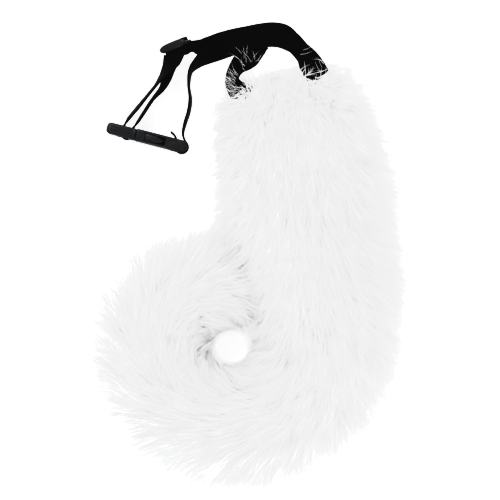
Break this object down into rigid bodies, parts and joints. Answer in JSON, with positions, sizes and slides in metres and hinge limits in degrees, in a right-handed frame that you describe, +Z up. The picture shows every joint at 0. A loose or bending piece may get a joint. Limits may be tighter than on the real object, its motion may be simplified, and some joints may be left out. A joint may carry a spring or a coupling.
{
  "type": "costume animal tail",
  "caption": "White faux fur costume tail on an adjustable black webbing waist belt with a side-release buckle, lying flat with its end curled in a ring.",
  "frame": {"origin": "middle of the whole footprint, on the floor", "axes": "+Y from the tail's bend to its head and belt, +Z up from the floor, +X to the right when it is seen from above with the head at the top"},
  "size_m": [0.3136, 0.4746, 0.1039],
  "materials": {
    "fur": "matte",
    "webbing": "matte",
    "plastic": "satin"
  },
  "bodies": {
    "root": {"fur_tail": "fur", "waist_strap": "webbing", "adjuster_strap": "webbing", "strap_slider": "plastic", "buckle_plug": "plastic", "buckle_housing": "plastic"}
  },
  "joints": []
}
